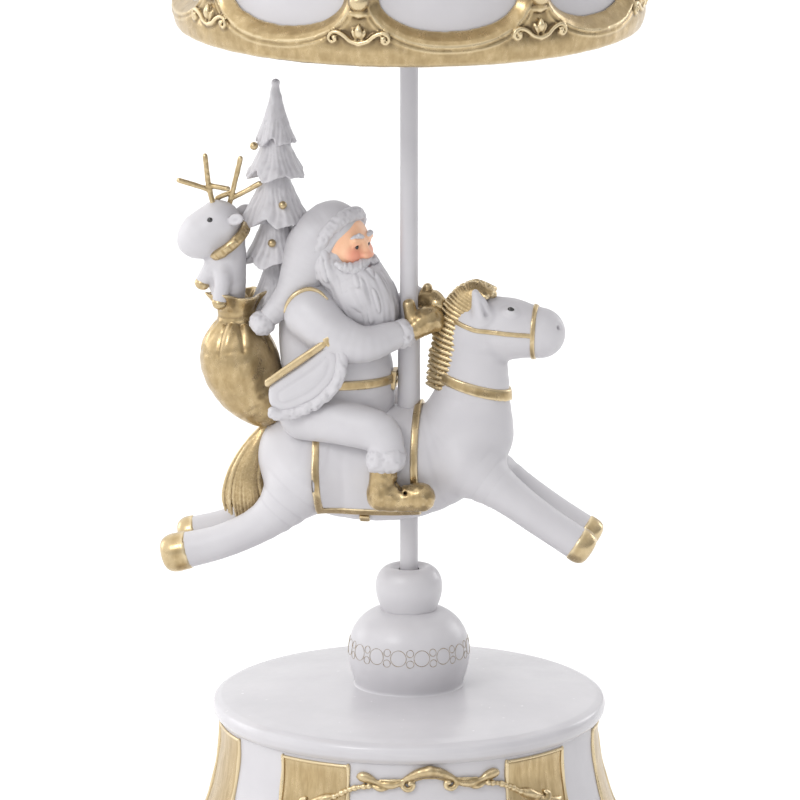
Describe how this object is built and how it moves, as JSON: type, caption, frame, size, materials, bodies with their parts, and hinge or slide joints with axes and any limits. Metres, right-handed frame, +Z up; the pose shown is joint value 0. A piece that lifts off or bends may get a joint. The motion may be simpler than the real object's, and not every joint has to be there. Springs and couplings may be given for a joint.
{
  "type": "carousel music box",
  "caption": "Bell-shaped wind-up music box whose pole turns a bearded rider on a galloping horse, with a gift sack and a small tree behind, under a gold crown canopy.",
  "frame": {"origin": "centre of the base's footprint on the table, under the pole's axis", "axes": "+Z up along the pole; -Y towards the front cartouche of the base; the horse heads towards +X, turned 14 degrees to the front"},
  "size_m": [0.1529, 0.152, 0.3627],
  "materials": {
    "white_resin": "matte warm white paint on cast resin",
    "gold_resin": "antique gold paint on cast resin, satin with brown in the hollows",
    "felt": "wool felt",
    "brass": "turned brass",
    "steel": "ground steel",
    "zinc_casting": "grey die casting",
    "fibreboard": "plain fibreboard",
    "pole_paint": "matte white paint on steel rod"
  },
  "bodies": {
    "base": {"base_skirt": "white_resin", "felt_ring": "felt", "bottom_plate": "fibreboard", "plate_screw_1": "steel", "plate_screw_2": "steel", "plate_screw_3": "steel", "deck_plate": "white_resin", "pole_bush": "brass", "lower_ball": "white_resin", "upper_ball": "white_resin", "bedplate": "zinc_casting", "movement_screw_1": "steel", "movement_screw_2": "steel", "barrel_bridge": "steel", "clutch_spring": "steel", "inner_post": "zinc_casting", "outer_post": "zinc_casting", "governor_post": "zinc_casting", "governor_bracket": "zinc_casting", "comb": "steel", "comb_stand": "zinc_casting", "comb_screw_1": "steel", "comb_screw_2": "steel"},
    "key": {"winding_arbor": "steel", "winding_key": "brass"},
    "carousel": {"spring_barrel": "brass", "barrel_lid": "brass", "mainspring": "steel", "output_shaft": "steel", "pole_coupling": "brass", "pole": "pole_paint", "horse": "white_resin", "pole_sleeve": "white_resin", "saddle_cloth": "white_resin", "rider_coat": "white_resin", "boot_right": "gold_resin", "boot_left": "gold_resin", "mitten_right": "gold_resin", "mitten_left": "gold_resin", "rider_head": "white_resin", "satchel": "white_resin", "mane": "gold_resin", "tail": "gold_resin", "gift_sack": "gold_resin", "fir_tree": "white_resin", "toy_reindeer": "white_resin", "antler_right": "gold_resin", "antler_left": "gold_resin", "canopy_shell": "white_resin", "pole_collar": "gold_resin", "crown_band": "gold_resin", "finial": "gold_resin"},
    "cylinder": {"cylinder_arbor": "steel", "cylinder_pinion": "brass", "music_cylinder": "brass", "cylinder_wheel": "brass"},
    "governor": {"governor_pinion": "steel", "worm_wheel": "brass"},
    "fan": {"worm": "steel", "air_brake": "brass"}
  },
  "joints": [
    {"name": "carousel_spin", "type": "hinge", "parent": "base", "child": "carousel", "pos_m": [0, 0, 0.062], "axis": [0, 0, 1], "continuous": true},
    {"name": "cylinder_spin", "type": "hinge", "parent": "base", "child": "cylinder", "pos_m": [0.0275, 0, 0.02995], "axis": [1, 0, 0], "continuous": true},
    {"name": "governor_wheel_spin", "type": "hinge", "parent": "base", "child": "governor", "pos_m": [0.04, -0.01, 0.02995], "axis": [1, 0, 0], "continuous": true},
    {"name": "fan_spin", "type": "hinge", "parent": "base", "child": "fan", "pos_m": [0.0419, -0.0178, 0.03], "axis": [0, 0, 1], "continuous": true},
    {"name": "key_wind", "type": "hinge", "parent": "base", "child": "key", "pos_m": [0, 0, 0.01], "axis": [0, 0, 1], "range_deg": [0, 1980]}
  ],
  "couplings": [
    {"joint": "cylinder_spin", "follows": "carousel_spin", "ratio": 3.3333},
    {"joint": "governor_wheel_spin", "follows": "carousel_spin", "ratio": -10},
    {"joint": "fan_spin", "follows": "carousel_spin", "ratio": -200}
  ]
}
